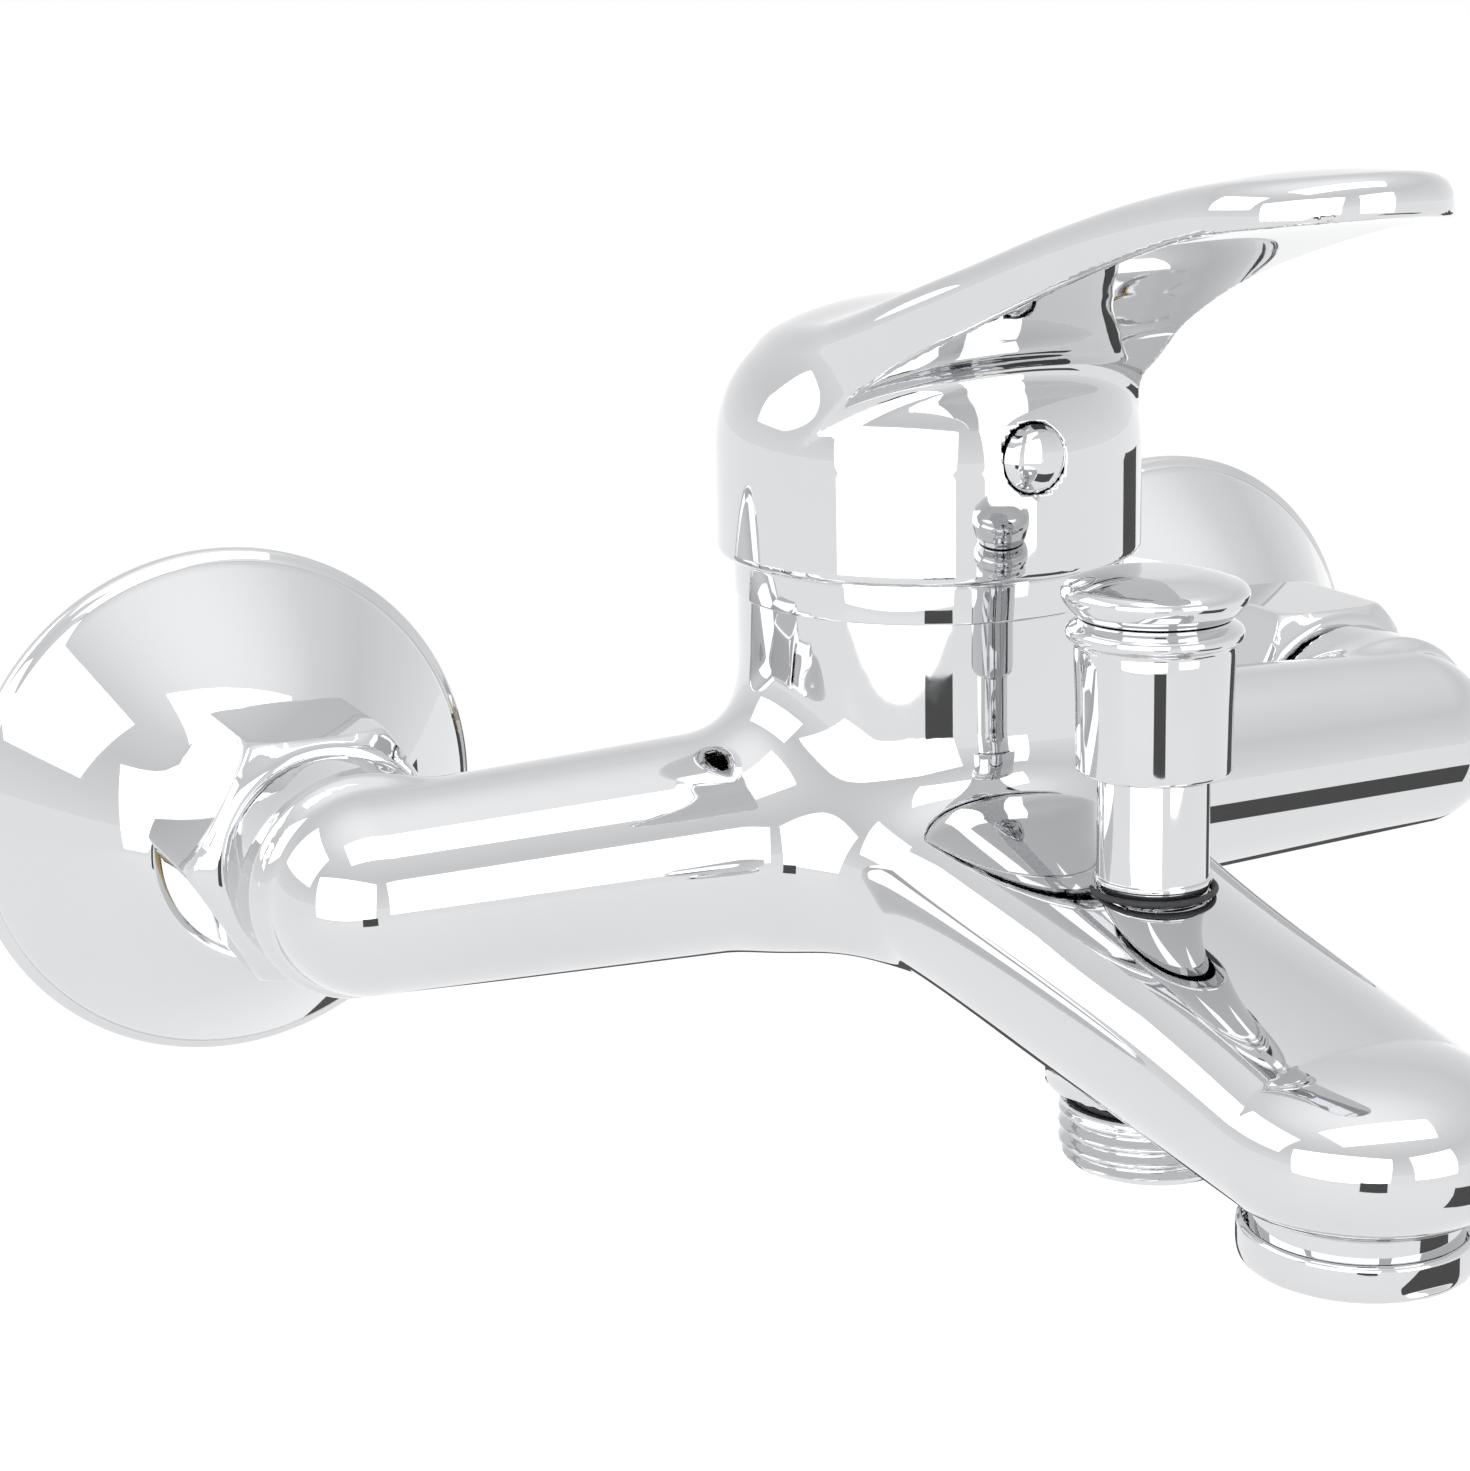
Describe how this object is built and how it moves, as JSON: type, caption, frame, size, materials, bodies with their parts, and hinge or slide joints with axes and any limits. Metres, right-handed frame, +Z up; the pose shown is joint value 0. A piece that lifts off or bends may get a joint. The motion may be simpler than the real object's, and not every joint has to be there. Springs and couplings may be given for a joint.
{
  "type": "wall mounted bath faucet",
  "caption": "Single lever wall mounted bath mixer with round rosettes, a pull-up diverter, a threaded shower outlet and an aerated bath spout.",
  "frame": {"origin": "on the finished wall, midway between the axes of the two supply threads", "axes": "+X along the wall to the right seen from the room, +Y into the wall, +Z up; the spout points along -Y"},
  "size_m": [0.2196, 0.188, 0.1265],
  "materials": {
    "chrome": "polished chrome plate",
    "brass": "machined brass",
    "rubber": "moulded black rubber",
    "ceramic": "lapped ceramic",
    "acetal": "moulded acetal",
    "steel": "stainless steel"
  },
  "bodies": {
    "mixer": {"left_rosette": "chrome", "right_rosette": "chrome", "left_eccentric_union": "brass", "right_eccentric_union": "brass", "left_union_nut": "chrome", "right_union_nut": "chrome", "left_union_washer": "rubber", "right_union_washer": "rubber", "left_inlet_filter": "steel", "right_inlet_filter": "steel", "left_inlet_tail": "brass", "right_inlet_tail": "brass", "mixer_body": "chrome", "base_seals": "rubber", "cartridge_base": "acetal", "cartridge_housing": "acetal", "cartridge_o_ring": "rubber", "fixed_ceramic_disc": "ceramic", "retaining_nut": "brass", "trim_ring": "chrome", "diverter_bonnet": "chrome", "bonnet_o_ring": "rubber", "rod_o_ring": "rubber", "diverter_spring": "steel", "shower_nipple": "chrome", "outlet_o_ring": "rubber", "aerator_housing": "chrome", "aerator_washer": "rubber", "aerator_insert": "acetal", "aerator_screens": "steel"},
    "swivel": {"spindle_carrier": "acetal", "pivot_pin": "steel"},
    "lever": {"lever_handle": "chrome", "grub_screw": "steel", "index_button": "chrome", "lever_spindle": "brass"},
    "disc_slider": {"moving_ceramic_disc": "ceramic", "disc_carrier": "acetal"},
    "diverter": {"diverter_rod": "brass", "valve_disc": "brass", "valve_seals": "rubber", "knob_sleeve": "chrome", "knob_cap": "chrome"}
  },
  "joints": [
    {"name": "temperature_swivel", "type": "hinge", "parent": "mixer", "child": "swivel", "pos_m": [0, -0.063, 0.0323], "axis": [0, 0, 1], "range_deg": [-45, 45]},
    {"name": "flow_tilt", "type": "hinge", "parent": "swivel", "child": "lever", "pos_m": [0, -0.063, 0.0323], "axis": [-1, 0, 0], "range_deg": [0, 24]},
    {"name": "disc_slide", "type": "slide", "parent": "swivel", "child": "disc_slider", "axis": [0, -1, 0], "range_m": [0, 0.0027]},
    {"name": "diverter_lift", "type": "slide", "parent": "mixer", "child": "diverter", "axis": [0, 0, 1], "range_m": [0, 0.005], "stiffness_N_per_m": 300, "springref_m": -0.004, "deforming": ["diverter_spring"]}
  ],
  "couplings": [
    {"joint": "disc_slide", "follows": "flow_tilt", "m_per_rad": 0.0063}
  ]
}
